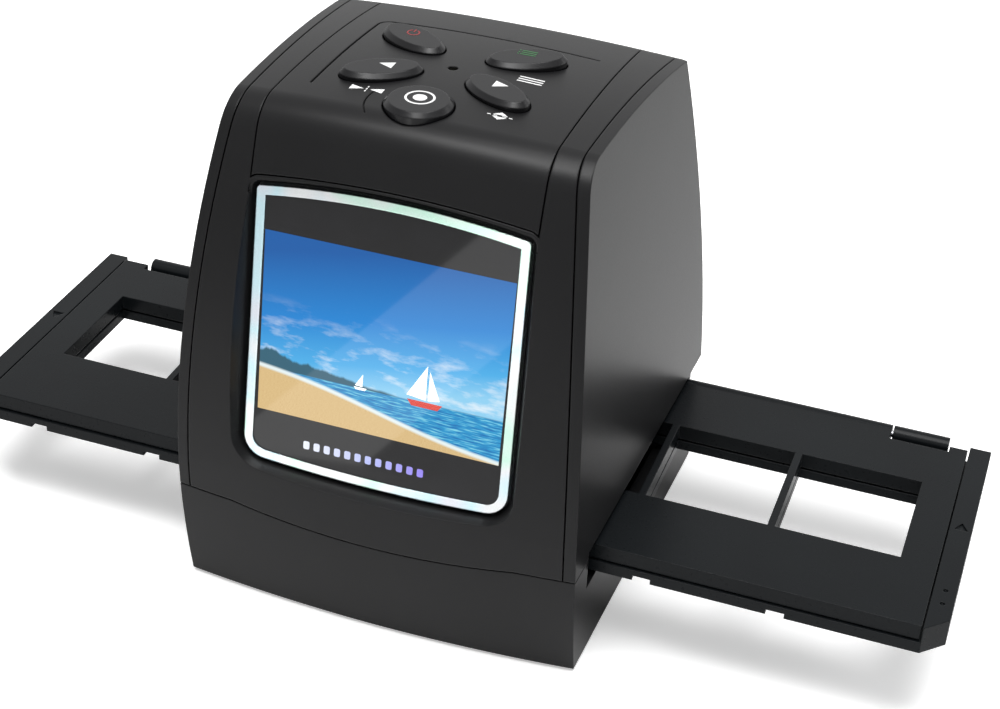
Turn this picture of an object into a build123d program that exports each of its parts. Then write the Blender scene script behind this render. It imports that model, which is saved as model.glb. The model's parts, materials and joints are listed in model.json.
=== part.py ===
"""Desktop film negative scanner, millimetres.

+X is to the right seen from the front, +Y to the rear, +Z up. The origin is on
the resting plane, under the middle of the casing. The film tray lies in the
slot along X, pushed a little to the right, as it does part way through a strip.
"""
from build123d import *
import math
import os

# ---------------------------------------------------------------- casing sizes
FOOT_H = 0.8            # rubber feet stand out of the underside by this
WALL = 2.0              # moulded wall of the casing
SIDE_T = 2.2            # side panels are flat mouldings of this thickness
SEAM = 0.3              # visible gap at every parting line
FACET_X = 29.5          # crease between the front facet and its side strips
COVER_HALF_W = 27.5     # half width of the top cover between its parting lines

FRONT_BASE_Y = -44.0    # front face at the floor, at the crease
BULGE_Y = -48.3         # furthest forward point of the front face
BULGE_Z = 34.0
FRONT_MID = (-45.3, 66.0)
FRONT_TOP = (-33.3, 105.6)
TOP_MID = (-8.0, 106.0)
TOP_REAR = (27.2, 102.6)
FRONT_TOP_R = 8.0       # rounding from the front face into the top
REAR_TOP_R = 7.0
REAR_MID = (38.5, 62.0)
REAR_BULGE = (47.2, 22.0)
REAR_LOW = (46.6, 10.0)
REAR_BASE_Y = 44.5

CROWN_R = 252.0         # the front and top swell sideways on this radius
CROWN_RISE = 1.2        # how far the middle stands out past the crease
STRIP_BACK = 0.384      # side strips fall back by this much per mm of width
STRIP_DROP = 0.19       # and drop by this much per mm of width
REAR_STRIP_X = 33.0     # crease of the rear corner strips
REAR_STRIP_IN = 0.75

SIDE_HALF_W = 41.5      # half width low on the side, at the front
SIDE_MID = (40.0, 60.0)
SIDE_TOP = (34.3, 106.0)
SIDE_FLARE = 0.03       # the sides open out to the rear
FRONT_EDGE_Y = -40.0    # where SIDE_HALF_W is measured

SMILE_Z = 25.0          # parting line of the base at the creases
SMILE_DIP = 2.0         # it dips by this much in the middle
REAR_COVER_TOP = 92.0
REAR_COVER_T = 5.0      # depth of the rear cover's wrap round the corners

# ------------------------------------------------------------------- film tray
WINDOW_W = 24.9
WINDOW_D = 26.3
WINDOW_BAR = 1.5
WINDOW_COUNT = 7
WINDOW_RIGHT = 97.5     # right edge of the last window
FILM_Y = -1.7           # middle of the film, and of the optical axis
FILM_W = 35.0           # the strip lies in a channel of this width and a little more
CHANNEL_D = 0.25
TRAY_FRONT = -34.4
TRAY_REAR = 27.6
TRAY_Z = 19.6           # underside of the tray
TRAY_TOP = 25.6
TRAY_BASE_T = 2.4
FILM_GAP = 0.3          # room for the film between lid and tray
END_MARGIN = 7.2        # lid beyond its last window
FLANGE_W = 4.4          # end flanges beyond the lid
LID_GAP = 0.35          # gap between lid and end flanges
CORNER_CUT = 4.3
HINGE_Y = 28.7
HINGE_Z = 23.9
KNUCKLE_R = 1.9
HINGE_PIN_R = 0.75
PIN_CLEAR = 0.05
KNUCKLE_GAP = 0.35
KNUCKLE_L = 11.8        # length of the tray's own hinge tabs
NOTCH_W = 3.6
NOTCH_H = 1.1
NOTCH_SHIFT = -7.45     # notch centre from window centre
TRAY_PLAY = 0.3         # running gap round the tray
LID_HEADROOM = 1.3
BLIND_REAR = 40.5       # blinds close the slot behind the tray

# ------------------------------------------------------------ slot in the sides
SLOT_FRONT = -38.4
SLOT_REAR = 44.0
SLOT_LOW = 18.0
SLOT_HIGH = TRAY_TOP + LID_HEADROOM

# --------------------------------------------------------------------- display
SCREEN_Y = -42.0        # middle of the picture on the display plane
SCREEN_Z = 65.0
SCREEN_TILT = 8.5       # degrees, leaning back
PICTURE_W = 48.96
PICTURE_H = 36.72
TRIM_HALF_W = 26.4
TRIM_HALF_W_LOW = 27.0
TRIM_TOP = 26.6
TRIM_ARCH = 2.0
TRIM_BOTTOM = 28.4
TRIM_SAG = 1.2
TRIM_CORNER_R = 4.6
TRIM_W = 1.75
TRIM_PROUD = 0.3
LENS_T = 1.5
BEZEL_W = 2.0           # width of the frame moulding round the lens
BEZEL_BACK = 1.6
RECESS_FLARE = 22.0     # degrees, slope of the recess walls
MODULE_W = 60.3         # display module, standard outline
MODULE_H = 43.0
MODULE_T = 2.6

# --------------------------------------------------------------------- buttons
BUTTON_PROUD = 1.25
BUTTON_BEVEL = 0.85
BUTTON_GAP = 0.25
BUTTON_TRAVEL = 0.6
FLANGE_RIM = 0.9
FLANGE_T = 0.8
PETAL_L = 15.6
PETAL_W = 8.2
SCAN_R = 6.4
PETAL_X = 11.4
PETAL_REAR_Y = 0.6
PETAL_FRONT_Y = -15.9
PETAL_REAR_TURN = 28.0
PETAL_FRONT_TURN = 31.0
SCAN_Y = -26.0
PINHOLE_Y = -8.6
PINHOLE_R = 1.0
SWITCH_SIZE = 6.0
SWITCH_H = 3.4
PLUNGER_R = 1.75
PLUNGER_OUT = 0.9
STEM_R = 1.6
STEM_L = 1.4            # a key's stem between its flange and its plunger
FLANGE_TOP = 102.0      # keys are held from below by flanges up to this height
LAMP_TOP = 105.6
GROOVE_W = 0.5
GROOVE_D = 0.45

# ------------------------------------------------------------ boards and optics
BOARD_T = 1.6
GATE_T = 2.0
TRACK_FLOOR_T = 1.7
RAIL_T = 3.4
TOWER_BASE = 34.0
TOWER_TOP = 22.0
TOWER_H = 33.0
TOWER_WALL = 1.8
LENS_R = 7.0
LENS_CLEAR = 0.05
SENSOR_BOARD = 30.0
MAIN_BOARD_Z = 32.5
SCREW_R = 1.0           # casing and board screws
SCREW_HEAD_R = 1.85
SCREW_HEAD_T = 1.4
SCREW_SEAT_Z = 6.0      # casing screws are sunk to this height
SMALL_SCREW_R = 0.8     # screws of the film track and the camera
SMALL_HEAD_R = 1.6
BOSS_R = 2.4
BOSS_X = 28.0
BOSS_FRONT_Y = -41.0
BOSS_REAR_Y = 39.0
UPPER_BOSS_TOP = 31.0
LEDGE_FRONT = -24.0     # ledges that carry the top cover
LEDGE_REAR = 20.0
COVER_POST_X = 22.0     # posts between the top cover and the button board
COVER_POST_Y = (-29.0, 8.5)
POST_HOLE = 5.0         # depth of the screw holes in them
GATE_HALF_W = 15.0      # opening in the track and the plate over it
GATE_HALF_D = 15.5
LIGHT_HALF_W = 17.0     # backlight board and box
LIGHT_HALF_D = 18.0
TOWER_FOOT = 42.0
MAIN_HALF_W = 32.0      # main board
MAIN_FRONT = 19.5
MAIN_REAR = 41.2
MAIN_SCREW_X = 29.0
MAIN_SCREW_Y = 22.5
SOCKET_MOUTH = 41.4     # rear faces of the sockets
USB_X = -19.0
JACK_X = -7.5
CARD_X = 12.0
CARD_W = 27.0
JACK_R = 1.8
JACK_DEPTH = 12.0
RIBBON_W = 10.0
RIBBON_T = 0.3
RIBBON_SEAT_Y = 23.6    # ribbon sockets on the main board
BUTTON_RIBBON_X = -17.0
FOOT_X = 32.0           # rubber feet
FOOT_Y = 30.0
FOOT_R = 4.5

# ----------------------------------------------------------------- worked out
PITCH = WINDOW_W + WINDOW_BAR
WINDOW_LEFT = WINDOW_RIGHT - WINDOW_COUNT * PITCH + WINDOW_BAR
WINDOW_CENTRES = [WINDOW_RIGHT - WINDOW_W / 2 - i * PITCH for i in range(WINDOW_COUNT)]
LID_LEFT = WINDOW_LEFT - END_MARGIN
LID_RIGHT = WINDOW_RIGHT + END_MARGIN
TRAY_LEFT = LID_LEFT - LID_GAP - FLANGE_W
TRAY_RIGHT = LID_RIGHT + LID_GAP + FLANGE_W
TRAY_BASE_TOP = TRAY_Z + TRAY_BASE_T
LID_Z = TRAY_BASE_TOP + FILM_GAP
TRACK_TOP = TRAY_Z - TRAY_PLAY
TRACK_LOW = TRACK_TOP - TRACK_FLOOR_T
RAIL_FRONT = TRAY_FRONT - TRAY_PLAY
RAIL_REAR = HINGE_Y + KNUCKLE_R + TRAY_PLAY
TRACK_HALF_L = SIDE_HALF_W - SIDE_T - 1.4
GATE_TOP = SLOT_HIGH + GATE_T
FLOOR_TOP = FOOT_H + WALL
PORT_Z = MAIN_BOARD_Z + BOARD_T
JACK_Z = PORT_Z + 2.8
DETENT_X = NOTCH_SHIFT  # the spring meets a notch when a window is on the axis
BUTTON_BOARD_Z = FLANGE_TOP - FLANGE_T - STEM_L - PLUNGER_OUT - SWITCH_H
SCREEN = Plane(
    origin=(0, SCREEN_Y, SCREEN_Z),
    x_dir=(1, 0, 0),
    z_dir=(0, -math.cos(math.radians(SCREEN_TILT)), math.sin(math.radians(SCREEN_TILT))),
)
FAR = 90.0              # past every face of the casing
PARTS = {}


# ---------------------------------------------------------------- small helpers
def block(x0, x1, y0, y1, z0, z1):
    """Box between two corners."""
    middle = ((x0 + x1) / 2, (y0 + y1) / 2, (z0 + z1) / 2)
    return Pos(*middle) * Box(x1 - x0, y1 - y0, z1 - z0)


def post(x, y, z0, z1, radius):
    """Upright cylinder from z0 to z1."""
    return Pos(x, y, (z0 + z1) / 2) * Cylinder(radius, z1 - z0)


def rod_x(x0, x1, y, z, radius):
    """Cylinder along X."""
    return Pos((x0 + x1) / 2, y, z) * Rot(0, 90, 0) * Cylinder(radius, x1 - x0)


def rod_y(x, y0, y1, z, radius):
    """Cylinder along Y."""
    return Pos(x, (y0 + y1) / 2, z) * Rot(90, 0, 0) * Cylinder(radius, y1 - y0)


def both_sides(shape):
    """The shape and its mirror image in the middle plane."""
    return [shape, mirror(shape, about=Plane.YZ)]


def box_at(x, y, z0, width, depth, height):
    """Box that stands on z0, centred on x and y."""
    return Pos(x, y, z0 + height / 2) * Box(width, depth, height)


def joined(shapes):
    """All shapes of a sequence as one."""
    total = None
    for shape in shapes:
        total = shape if total is None else total + shape
    return total


def four_sites(x, y_front, y_rear):
    """Corner positions, mirrored left and right."""
    return [(side * x, y) for side in (-1, 1) for y in (y_front, y_rear)]


def upright_screw(x, y, head_z, length):
    """Pan-head screw driven upwards: its head's face is at head_z."""
    head = post(x, y, head_z, head_z + SCREW_HEAD_T, SCREW_HEAD_R)
    shank = post(x, y, head_z + SCREW_HEAD_T, head_z + length, SCREW_R)
    recess = Pos(x, y, head_z) * Box(2.6, 0.6, 1.4) + Pos(x, y, head_z) * Box(0.6, 2.6, 1.4)
    return head + shank - recess


def small_screw(x, y, seat_z, length, sign):
    """Small screw under its seat (sign -1) or over it (sign 1)."""
    head = sorted((seat_z, seat_z - sign * 1.2))
    shank = sorted((seat_z, seat_z + sign * length))
    slot = Pos(x, y, seat_z - sign * 1.2) * Box(2.2, 0.5, 1.0)
    return post(x, y, *head, SMALL_HEAD_R) + post(x, y, *shank, SMALL_SCREW_R) - slot


# ------------------------------------------------------------- casing envelope
def front_top_face(inset, closed_behind=True):
    """Side view of the casing at the crease; the rear of a side strip is open."""
    front = (FRONT_TOP[0] + inset, FRONT_TOP[1] - inset)
    rear = (TOP_REAR[0] - inset, TOP_REAR[1] - inset)
    bulge = (BULGE_Y + inset, BULGE_Z)
    low = (FRONT_BASE_Y + inset, 0)
    far_end = 2 * FAR
    if closed_behind:
        behind = [
            Line(rear, (rear[0] + 11.0, REAR_MID[1])),
            Line((rear[0] + 11.0, REAR_MID[1]), (far_end, REAR_MID[1] - 40)),
            Line((far_end, REAR_MID[1] - 40), (far_end, -30)),
        ]
    else:
        behind = [
            Line(rear, (far_end, rear[1] - 0.17 * (far_end - rear[0]))),
            Line((far_end, rear[1] - 0.17 * (far_end - rear[0])), (far_end, -30)),
        ]
    face = make_face(Curve() + [
        Line((far_end, -30), (low[0] + 4.2, -30)),
        Line((low[0] + 4.2, -30), low),
        ThreePointArc(low, (bulge[0] + 1.0, BULGE_Z * 0.55), bulge),
        ThreePointArc(bulge, (FRONT_MID[0] + inset, FRONT_MID[1]), front),
        ThreePointArc(front, (TOP_MID[0], TOP_MID[1] - inset), rear),
    ] + behind)
    corner = face.vertices().sort_by_distance((front[0], front[1], 0))[0]
    face = fillet([corner], FRONT_TOP_R - inset)
    if not closed_behind:
        return face
    corner = face.vertices().sort_by_distance((rear[0], rear[1], 0))[0]
    return fillet([corner], REAR_TOP_R - inset)


def rear_face(inset):
    """Side view of the rear wall, open far in front and above."""
    top = (TOP_REAR[0] - inset, TOP_REAR[1])
    bulge = (REAR_BULGE[0] - inset, REAR_BULGE[1])
    low = (REAR_BASE_Y - inset, 0)
    return make_face(Curve() + [
        Line((-2 * FAR, -30), (low[0] - 4.0, -30)),
        Line((low[0] - 4.0, -30), low),
        ThreePointArc(low, (REAR_LOW[0] - inset, REAR_LOW[1]), bulge),
        ThreePointArc(bulge, (REAR_MID[0] - inset, REAR_MID[1]), top),
        Line(top, (top[0] - 4.0, 120)),
        Line((top[0] - 4.0, 120), (-2 * FAR, 120)),
        Line((-2 * FAR, 120), (-2 * FAR, -30)),
    ])


def side_face(inset):
    """Front view of the casing's right side, open far to the left."""
    low = SIDE_HALF_W - inset
    top = (SIDE_TOP[0] - inset, SIDE_TOP[1])
    return make_face(Curve() + [
        Line((-FAR, -30), (low, -30)),
        Line((low, -30), (low, 18)),
        ThreePointArc((low, 18), (SIDE_MID[0] - inset, SIDE_MID[1]), top),
        Line(top, (top[0] - 2, 125)),
        Line((top[0] - 2, 125), (-FAR, 125)),
        Line((-FAR, 125), (-FAR, -30)),
    ])


def slanted(face, start, direction, length):
    """Extrude a face along a direction that need not be square to it."""
    moved = Pos(*start) * face
    size = math.sqrt(sum(c * c for c in direction))
    unit = Vector(*[c / size for c in direction])
    return extrude(moved, amount=length * size, dir=unit)


def side_prism(inset):
    """Everything to the left of the right side face."""
    face = Plane.XZ * side_face(inset)
    start = (-SIDE_FLARE * (FAR + FRONT_EDGE_Y), -FAR, 0)
    return slanted(face, start, (SIDE_FLARE, 1, 0), 2 * FAR)


def crowned_prism():
    """Front and top faces, swelling sideways round a sloping axis."""
    lift = Pos(-CROWN_RISE, CROWN_RISE, 0) * front_top_face(0)
    slope = math.sqrt(0.5)
    centre_y = FRONT_TOP[0] - CROWN_RISE + CROWN_R * slope
    centre_z = FRONT_TOP[1] + CROWN_RISE - CROWN_R * slope
    axis = Axis((0, centre_y, centre_z), (0, 1, 1))
    half_turn = 30.0
    turned = (Plane.YZ * lift).rotate(axis, -half_turn)
    return revolve(turned, axis, 2 * half_turn)


def strip_prism(inset):
    """Right side strip: the same side view carried back and down outwards."""
    face = Plane.YZ * front_top_face(inset, closed_behind=False)
    reach = FACET_X + FAR / 2
    direction = (1, STRIP_BACK, -STRIP_DROP)
    start = (FACET_X - reach, -STRIP_BACK * reach, STRIP_DROP * reach)
    return slanted(face, start, direction, 2 * reach)


def rear_strip_prism(inset):
    """Right rear corner strip."""
    face = Plane.YZ * rear_face(inset)
    reach = REAR_STRIP_X + FAR / 2
    start = (REAR_STRIP_X - reach, REAR_STRIP_IN * reach, 0)
    return slanted(face, start, (1, -REAR_STRIP_IN, 0), 2 * reach)


def across(face):
    """Prism of a side view face over the whole width."""
    return extrude(Pos(-FAR, 0, 0) * (Plane.YZ * face), amount=2 * FAR, dir=(1, 0, 0))


def envelope(inset, side_inset):
    """The closed form of the casing: its outside, or its cavity, which has no crown."""
    form = across(front_top_face(inset)) if inset else crowned_prism()
    form &= across(rear_face(inset))
    for prism in (strip_prism(inset), rear_strip_prism(inset), side_prism(side_inset)):
        for side in both_sides(prism):
            form &= side
    low = FOOT_H + inset
    return form & block(-FAR, FAR, -FAR, FAR, low, 150)


# ------------------------------------------------------------------ parting cuts
def low_region(grow):
    """Everything that belongs to the base: it rises to the parting line in front."""
    flat = block(-FAR, FAR, -FAR, FAR, -5, SLOT_LOW + grow)
    line_z = SMILE_Z + grow
    smile = Plane.XZ * make_face(Curve() + [
        Line((-FAR, 0), (FAR, 0)),
        Line((FAR, 0), (FAR, line_z)),
        Line((FAR, line_z), (FACET_X, line_z)),
        ThreePointArc((FACET_X, line_z), (0, line_z - SMILE_DIP), (-FACET_X, line_z)),
        Line((-FACET_X, line_z), (-FAR, line_z)),
        Line((-FAR, line_z), (-FAR, 0)),
    ])
    raised = extrude(Pos(0, -FAR, 0) * smile, amount=FAR + SLOT_FRONT + grow, dir=(0, 1, 0))
    return flat + raised


def slot_cut():
    """The slot that the tray runs through, from side to side."""
    return block(-FAR, FAR, SLOT_FRONT, SLOT_REAR, SLOT_LOW - 0.5, SLOT_HIGH)


def rear_cover_region(grow):
    """Rear wall and its corners, below the rounding of the top."""
    everything = block(-FAR, FAR, -FAR, FAR, SLOT_LOW + SEAM, REAR_COVER_TOP + grow)
    inner = across(rear_face(REAR_COVER_T + grow))
    for side in both_sides(rear_strip_prism(REAR_COVER_T + grow)):
        inner &= side
    return everything - inner


def frame_outline(grow):
    """Outline of the silver trim on the display plane."""
    shape = make_face(Curve() + [
        Line((-TRIM_HALF_W_LOW, -TRIM_BOTTOM), (-TRIM_HALF_W, TRIM_TOP)),
        ThreePointArc((-TRIM_HALF_W, TRIM_TOP), (0, TRIM_TOP + TRIM_ARCH), (TRIM_HALF_W, TRIM_TOP)),
        Line((TRIM_HALF_W, TRIM_TOP), (TRIM_HALF_W_LOW, -TRIM_BOTTOM)),
        ThreePointArc(
            (TRIM_HALF_W_LOW, -TRIM_BOTTOM), (0, -TRIM_BOTTOM - TRIM_SAG), (-TRIM_HALF_W_LOW, -TRIM_BOTTOM)
        ),
    ])
    low = shape.vertices().sort_by(Axis.Y)[:2]
    shape = fillet(low, TRIM_CORNER_R)
    high = shape.vertices().sort_by(Axis.Y)[-2:]
    shape = fillet(high, 0.8)
    return offset(shape, grow) if grow else shape


def on_screen(face, z0, z1, taper=0):
    """Prism on the display plane between two heights above it."""
    return extrude(SCREEN.offset(z0) * face, amount=z1 - z0, dir=SCREEN.z_dir, taper=taper)


def screen_rect(width, height, z0, z1):
    """Block on the display plane, centred on the picture."""
    return on_screen(Rectangle(width, height), z0, z1)


def top_height(x, y):
    """Height of the crowned top, measured on the envelope's own arcs."""
    middle = (FRONT_TOP[0] + TOP_REAR[0]) / 2
    half = (TOP_REAR[0] - FRONT_TOP[0]) / 2
    chord = FRONT_TOP[1] + (TOP_REAR[1] - FRONT_TOP[1]) * (y - FRONT_TOP[0]) / (2 * half)
    bow = (TOP_MID[1] - 0.5 * (FRONT_TOP[1] + TOP_REAR[1])) * (1 - ((y - middle) / half) ** 2)
    return chord + bow + CROWN_RISE - x * x * CROWN_RISE / FACET_X**2


# --------------------------------------------------------------------- casing
def make_casing():
    """Base, side panels, main shell, top cover and rear cover."""
    outer = envelope(0, 0)
    cavity = envelope(WALL, SIDE_T)
    screen_opening = screen_rect(PICTURE_W + 2.2, PICTURE_H + 2.2, -20, 20)
    recess = on_screen(frame_outline(SEAM), -LENS_T, 9, -RECESS_FLARE)

    base = (outer - cavity) & low_region(0)
    base += base_fittings() & outer
    base -= base_screw_holes()
    PARTS["base"] = base

    panel = outer - side_prism(SIDE_T)
    panel = panel - low_region(SEAM) - slot_cut()
    PARTS["side_panel_right"] = panel.solids().sort_by(SortBy.VOLUME)[-1]
    PARTS["side_panel_left"] = mirror(PARTS["side_panel_right"], about=Plane.YZ)

    core = outer
    for side in both_sides(side_prism(SIDE_T + SEAM)):
        core &= side
    hollow = core - cavity
    rear = hollow & rear_cover_region(0)
    PARTS["rear_cover"] = rear_cover(rear, core)

    upper = hollow - low_region(SEAM) - rear_cover_region(SEAM)
    bezel = on_screen(frame_outline(BEZEL_W), -LENS_T - BEZEL_BACK, 12) & core
    bezel -= on_screen(Pos(0, FAR + TRIM_TOP - 1.5) * Rectangle(2 * FAR, 2 * FAR), TRIM_PROUD, 30)
    cover_zone = block(-COVER_HALF_W, COVER_HALF_W, -FAR, FAR, SCREEN_Z, 150)
    cover_zone -= on_screen(frame_outline(BEZEL_W + SEAM), -30, 30)
    cover_zone -= on_screen(Pos(0, -FAR) * Rectangle(2 * FAR, 2 * FAR), -30, 30)
    PARTS["top_cover"] = top_cover(upper & cover_zone, core)

    gap_zone = block(-COVER_HALF_W - SEAM, COVER_HALF_W + SEAM, -FAR, FAR, SCREEN_Z, 150)
    gap_zone -= on_screen(frame_outline(BEZEL_W), -30, 30)
    gap_zone -= on_screen(Pos(0, -FAR) * Rectangle(2 * FAR, 2 * FAR), -30, 30)
    shell = upper - on_screen(frame_outline(BEZEL_W - 0.5), -30, 30) - gap_zone
    shell = shell + bezel - recess - screen_opening
    shell += cover_ledges(core) + main_shell_bosses(core)
    PARTS["main_shell"] = shell - pilot_holes(BOSS_FRONT_Y, UPPER_BOSS_TOP - 2)


def base_fittings():
    """Screw bosses and the two walls that carry the film track."""
    bosses = [post(x, y, FOOT_H, SLOT_LOW, BOSS_R) for x, y in boss_sites()]
    walls = [
        block(-TRACK_HALF_L + 2, TRACK_HALF_L - 2, y - 1, y + 1, FOOT_H, TRACK_LOW)
        for y in (RAIL_FRONT - RAIL_T / 2, RAIL_REAR + RAIL_T / 2)
    ]
    return joined(bosses + walls)


def boss_sites():
    """Positions of the four casing screws."""
    return four_sites(BOSS_X, BOSS_FRONT_Y, BOSS_REAR_Y)


def gate_screw_sites():
    """Positions of the screws that clamp the film track to the base."""
    return four_sites(TRACK_HALF_L - 4, RAIL_FRONT - RAIL_T / 2, RAIL_REAR + RAIL_T / 2)


def base_screw_holes():
    """Holes and head pockets for the casing screws, pilot holes for the track's."""
    holes = [post(x, y, 0, SLOT_LOW + 1, SCREW_R + 0.2) for x, y in boss_sites()]
    holes += [post(x, y, 0, SCREW_SEAT_Z, SCREW_HEAD_R + 0.25) for x, y in boss_sites()]
    holes += [post(x, y, 10, TRACK_LOW + 1, SMALL_SCREW_R) for x, y in gate_screw_sites()]
    return joined(holes)


def upper_boss(x, y, wall_y, top):
    """Boss over a base boss, with a rib to the wall; a casing screw bites into it."""
    boss = post(x, y, SLOT_LOW, top, BOSS_R)
    rib = block(x - 1, x + 1, min(y, wall_y), max(y, wall_y), SMILE_Z + SEAM, top)
    return boss + rib


def pilot_holes(y, top):
    """Blind holes that the casing screws bite into."""
    return joined([post(x, y, SLOT_LOW - 1, top, SCREW_R) for x in (-BOSS_X, BOSS_X)])


def main_shell_bosses(core):
    """Front bosses, tied to the front wall."""
    return joined([upper_boss(x, BOSS_FRONT_Y, -FAR, UPPER_BOSS_TOP) & core for x in (-BOSS_X, BOSS_X)])


def cover_ledges(core):
    """Narrow ledges under the top cover's edges, inside the shell."""
    under = core & envelope(WALL + 0.2, SIDE_T)
    under -= envelope(WALL + 1.6, SIDE_T)
    strip = block(COVER_HALF_W - 2.5, COVER_HALF_W + 3.0, LEDGE_FRONT, LEDGE_REAR, 98, 130)
    ledge = under & strip
    root = (core & strip & block(COVER_HALF_W + SEAM + 0.2, COVER_HALF_W + 3, -FAR, FAR, 98, 130))
    root -= envelope(WALL + 1.0, SIDE_T)
    ledge += root
    return ledge + mirror(ledge, about=Plane.YZ)


def petal(turn, width, length):
    """Leaf outline with round ends."""
    return Rot(0, 0, turn) * Ellipse(length / 2, width / 2)


def button_sites():
    """Name, x, y and outline maker of each button."""
    sites = {"scan": (0.0, SCAN_Y, lambda grow: Circle(SCAN_R + grow))}
    corners = (
        ("power", -PETAL_X, PETAL_REAR_Y, -PETAL_REAR_TURN),
        ("menu", PETAL_X, PETAL_REAR_Y, PETAL_REAR_TURN),
        ("mirror", -PETAL_X, PETAL_FRONT_Y, PETAL_FRONT_TURN),
        ("flip", PETAL_X, PETAL_FRONT_Y, -PETAL_FRONT_TURN),
    )
    for name, x, y, turn in corners:
        sites[name] = (x, y, lambda grow, t=turn: petal(t, PETAL_W + 2 * grow, PETAL_L + 2 * grow))
    return sites


def prism_at(face, x, y, z0, z1):
    """Upright prism of an outline."""
    return extrude(Pos(x, y, z0) * face, amount=z1 - z0)


def cover_post_sites():
    """Positions of the button board's screws."""
    return four_sites(COVER_POST_X, *COVER_POST_Y)


def top_cover(plate, core):
    """Top cover with its button openings, pinhole, grooves and board posts."""
    for x, y, shape in button_sites().values():
        plate -= prism_at(shape(BUTTON_GAP), x, y, BUTTON_BOARD_Z + 0.5, 130)
    plate -= post(0, PINHOLE_Y, BUTTON_BOARD_Z, 130, PINHOLE_R)
    plate += joined([post(x, y, BUTTON_BOARD_Z, 130, BOSS_R) & core for x, y in cover_post_sites()])
    low, high = BUTTON_BOARD_Z - 1, BUTTON_BOARD_Z + POST_HOLE
    plate -= joined([post(x, y, low, high, SCREW_R) for x, y in cover_post_sites()])
    return plate - panel_grooves(core)


def panel_grooves(core):
    """Engraved corner line round the buttons and the arc beside the scan button."""
    x, y_front, y_rear, r = 22.0, -24.0, 10.6, 2.2
    path = FilletPolyline((-x, y_front), (-x, y_rear), (x + 1.0, y_rear), radius=r)
    line = trace(path, line_width=GROOVE_W)
    ring = make_face(Circle(SCAN_R + 3.6).edges()) - make_face(Circle(SCAN_R + 3.3).edges())
    ring = Pos(0, SCAN_Y) * ring
    ring &= Pos(-12.0, SCAN_Y - 1) * Rectangle(12, 9)
    groove = extrude(Pos(0, 0, 95) * line, amount=30) + extrude(Pos(0, 0, 95) * ring, amount=30)
    return groove - lowered_core(GROOVE_D, core)


def lowered_core(depth, core):
    """The casing's form moved down, which leaves a thin layer of its top."""
    return Pos(0, 0, -depth) * core


def rear_cover(plate, core):
    """Rear cover with bosses and port openings."""
    for x in (-BOSS_X, BOSS_X):
        plate += upper_boss(x, BOSS_REAR_Y, FAR, MAIN_BOARD_Z) & core
    plate -= pilot_holes(BOSS_REAR_Y, MAIN_BOARD_Z - 2)
    plate -= box_at(USB_X, 50, PORT_Z - 0.6, 9.0, 24, 5.2)
    plate -= box_at(CARD_X, 50, PORT_Z - 0.2, 25.4, 24, 3.6)
    return plate - rod_y(JACK_X, 38, 62, JACK_Z, JACK_R + 1.6)


# ------------------------------------------------------------ display and trim
def make_display():
    """Lens, silver trim, display module and its bracket."""
    PARTS["display_lens"] = on_screen(frame_outline(-TRIM_W), -LENS_T, 0)
    ring = on_screen(frame_outline(0), -LENS_T, TRIM_PROUD)
    PARTS["silver_trim"] = ring - on_screen(frame_outline(-TRIM_W), -LENS_T - 1, TRIM_PROUD + 1)
    back = -LENS_T - BEZEL_BACK
    nose = screen_rect(PICTURE_W + 1.5, PICTURE_H + 1.5, back - 1, -LENS_T)
    module = screen_rect(MODULE_W, MODULE_H, back - MODULE_T, back)
    PARTS["display_module"] = nose + module
    bracket = screen_rect(MODULE_W + 4, MODULE_H + 4, back - MODULE_T - 1.2, back - MODULE_T)
    bracket -= screen_rect(MODULE_W - 12, MODULE_H - 12, back - 20, back)
    rim = screen_rect(MODULE_W + 4, MODULE_H + 4, back - MODULE_T, back)
    rim -= screen_rect(MODULE_W + 0.4, MODULE_H + 0.4, back - 20, back + 1)
    PARTS["display_bracket"] = bracket + rim
    board_top = back - MODULE_T - 1.2
    PARTS["display_board"] = screen_rect(MODULE_W - 4, MODULE_H - 4, board_top - 1.2, board_top)


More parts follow.
